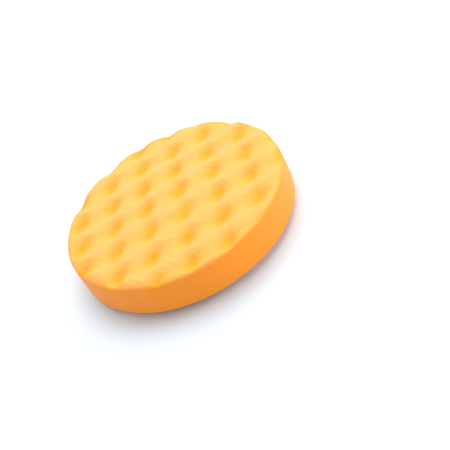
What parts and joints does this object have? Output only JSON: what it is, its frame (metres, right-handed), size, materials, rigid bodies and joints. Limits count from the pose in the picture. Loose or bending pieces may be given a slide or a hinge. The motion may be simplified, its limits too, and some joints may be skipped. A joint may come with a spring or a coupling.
{
  "type": "polishing pad",
  "caption": "Round waffle-faced foam polishing pad with a chamfered back and a smaller bonded loop-fabric backing that grips a hook-faced backing plate.",
  "frame": {"origin": "centre of the loop backing's outer face, which is also the bottom centre of the pad as it lies flat with its working face up", "axes": "+Z is the pad's axis, the way it turns, from the loop backing through the foam to the waffle face; +X runs along the straight rows of dimples"},
  "size_m": [0.15, 0.15, 0.028],
  "materials": {
    "polishing_foam": "matte",
    "adhesive_film": "satin",
    "backing_knit": "matte",
    "loop_pile": "matte"
  },
  "bodies": {
    "root": {"waffle_foam_disc": "polishing_foam", "adhesive_film": "adhesive_film", "backing_knit": "backing_knit", "loop_pile": "loop_pile"}
  },
  "joints": []
}
